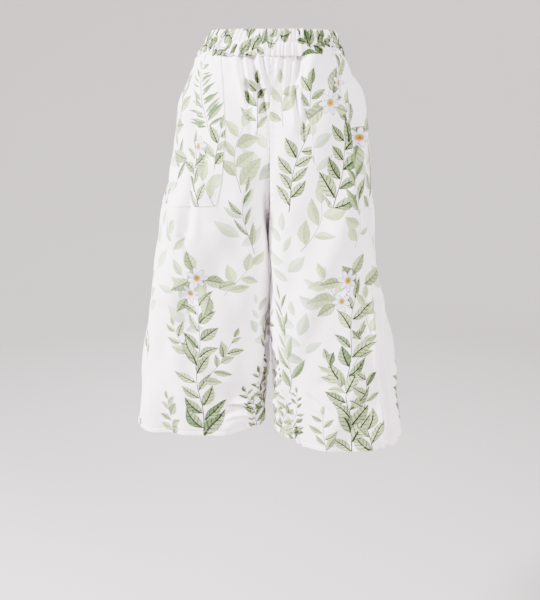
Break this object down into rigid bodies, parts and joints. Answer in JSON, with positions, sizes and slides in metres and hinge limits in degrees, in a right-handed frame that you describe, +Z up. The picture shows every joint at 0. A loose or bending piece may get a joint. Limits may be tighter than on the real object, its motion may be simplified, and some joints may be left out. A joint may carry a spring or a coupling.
{
  "type": "culottes",
  "caption": "Wide pull-on culottes with a ruched elastic waistband and patch pockets, holding a worn, hollow shape.",
  "frame": {"origin": "centre of the waistband, half way down it, where the wearer holds the garment up", "axes": "+Z up through the waist opening, -Y to the wearer's front, +X to the wearer's left"},
  "size_m": [0.5067, 0.2504, 0.705],
  "materials": {
    "leg_cloth": "white plain weave with a green leaf print",
    "pocket_cloth": "white plain weave with a green leaf print",
    "waistband_cloth": "white plain weave with a green leaf print, ruched over elastic"
  },
  "bodies": {
    "root": {"waistband": "waistband_cloth", "front_right": "leg_cloth", "front_left": "leg_cloth", "back_right": "leg_cloth", "back_left": "leg_cloth", "pocket_right": "pocket_cloth", "pocket_left": "pocket_cloth"}
  },
  "joints": []
}
